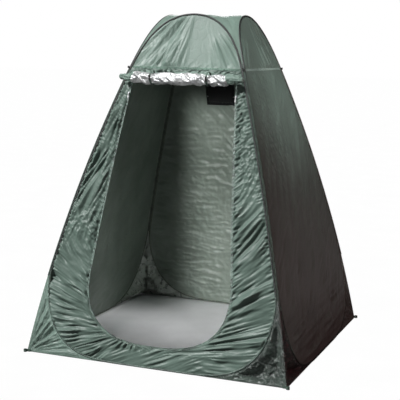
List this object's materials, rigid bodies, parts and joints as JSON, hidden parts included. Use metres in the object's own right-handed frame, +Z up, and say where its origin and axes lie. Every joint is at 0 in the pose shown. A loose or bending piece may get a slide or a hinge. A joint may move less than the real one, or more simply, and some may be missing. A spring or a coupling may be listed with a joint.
{
  "type": "privacy shower tent",
  "caption": "Pop-up privacy tent with four leaning bowed walls on sprung hoops, an arched roof, a zipped door rolled up and tied over its opening, and a back window with a cover.",
  "frame": {"origin": "on the ground, under the middle of the roof, at the centre of the square footprint", "axes": "+Z up, the door faces -Y, +X to the right of somebody who looks at the door"},
  "size_m": [1.555, 1.555, 1.8973],
  "materials": {
    "shell_fabric": "satin",
    "binding": "matte",
    "webbing": "matte",
    "door_lining": "satin",
    "floor_fabric": "matte",
    "window_mesh": "matte",
    "spring_steel": "satin",
    "zip_metal": "satin",
    "trim_plastic": "matte"
  },
  "bodies": {
    "shelter": {"back_cap_panel": "shell_fabric", "back_gusset_left": "shell_fabric", "back_gusset_right": "shell_fabric", "back_guy_loops": "webbing", "back_hoop_ferrule": "spring_steel", "back_hoop_sleeve": "binding", "back_hoop_wire": "spring_steel", "back_left_corner_tape": "binding", "back_peg_loops": "webbing", "back_right_corner_tape": "binding", "back_shoulder_tape": "shell_fabric", "back_wall": "shell_fabric", "door_sheet": "shell_fabric", "door_tie_straps": "webbing", "door_tie_toggles": "trim_plastic", "door_zip_tape": "binding", "front_cap_panel": "shell_fabric", "front_gusset_left": "shell_fabric", "front_gusset_right": "shell_fabric", "front_guy_loops": "webbing", "front_hoop_ferrule": "spring_steel", "front_hoop_sleeve": "binding", "front_hoop_wire": "spring_steel", "front_left_corner_tape": "binding", "front_peg_loops": "webbing", "front_right_corner_tape": "binding", "front_shoulder_tape": "shell_fabric", "front_wall": "shell_fabric", "groundsheet": "floor_fabric", "left_cap_panel": "shell_fabric", "left_gusset_back": "shell_fabric", "left_gusset_front": "shell_fabric", "left_hoop_ferrule": "spring_steel", "left_hoop_sleeve": "binding", "left_hoop_wire": "spring_steel", "left_shoulder_tape": "shell_fabric", "left_wall": "shell_fabric", "right_cap_panel": "shell_fabric", "right_gusset_back": "shell_fabric", "right_gusset_front": "shell_fabric", "right_hoop_ferrule": "spring_steel", "right_hoop_sleeve": "binding", "right_hoop_wire": "spring_steel", "right_shoulder_tape": "shell_fabric", "right_wall": "shell_fabric", "roof_canopy": "shell_fabric", "window_binding": "binding", "window_mesh": "window_mesh", "window_snap_studs": "zip_metal"},
    "door_roll": {"door_roll": "door_lining"},
    "zip_slider_right": {"door_zip_slider_right": "zip_metal"},
    "zip_slider_left": {"door_zip_slider_left": "zip_metal"},
    "zip_pull_right": {"door_zip_pull_right": "zip_metal"},
    "zip_pull_left": {"door_zip_pull_left": "zip_metal"},
    "window_flap": {"window_flap": "shell_fabric", "window_flap_snaps": "zip_metal"}
  },
  "joints": [
    {"name": "door_unroll", "type": "slide", "parent": "shelter", "child": "door_roll", "axis": [0, -0.2923, -0.9563], "range_m": [0, 1.1553], "deforming": ["door_sheet", "door_tie_straps", "door_tie_toggles"]},
    {"name": "zip_travel_right", "type": "slide", "parent": "shelter", "child": "zip_slider_right", "axis": [0.0962, -0.2939, -0.951], "range_m": [0, 0.7968]},
    {"name": "zip_pull_swing_right", "type": "hinge", "parent": "zip_slider_right", "child": "zip_pull_right", "pos_m": [0.3173, -0.40078, 1.4483], "axis": [-1, 0, 0], "range_deg": [0, 160]},
    {"name": "zip_travel_left", "type": "slide", "parent": "shelter", "child": "zip_slider_left", "axis": [-0.0962, -0.2939, -0.951], "range_m": [0, 0.7968]},
    {"name": "zip_pull_swing_left", "type": "hinge", "parent": "zip_slider_left", "child": "zip_pull_left", "pos_m": [-0.3173, -0.40078, 1.4483], "axis": [-1, 0, 0], "range_deg": [0, 160]},
    {"name": "window_flap_lift", "type": "hinge", "parent": "shelter", "child": "window_flap", "pos_m": [-0.065, 0.35338, 1.56503], "axis": [1, 0, 0], "range_deg": [0, 160]}
  ]
}
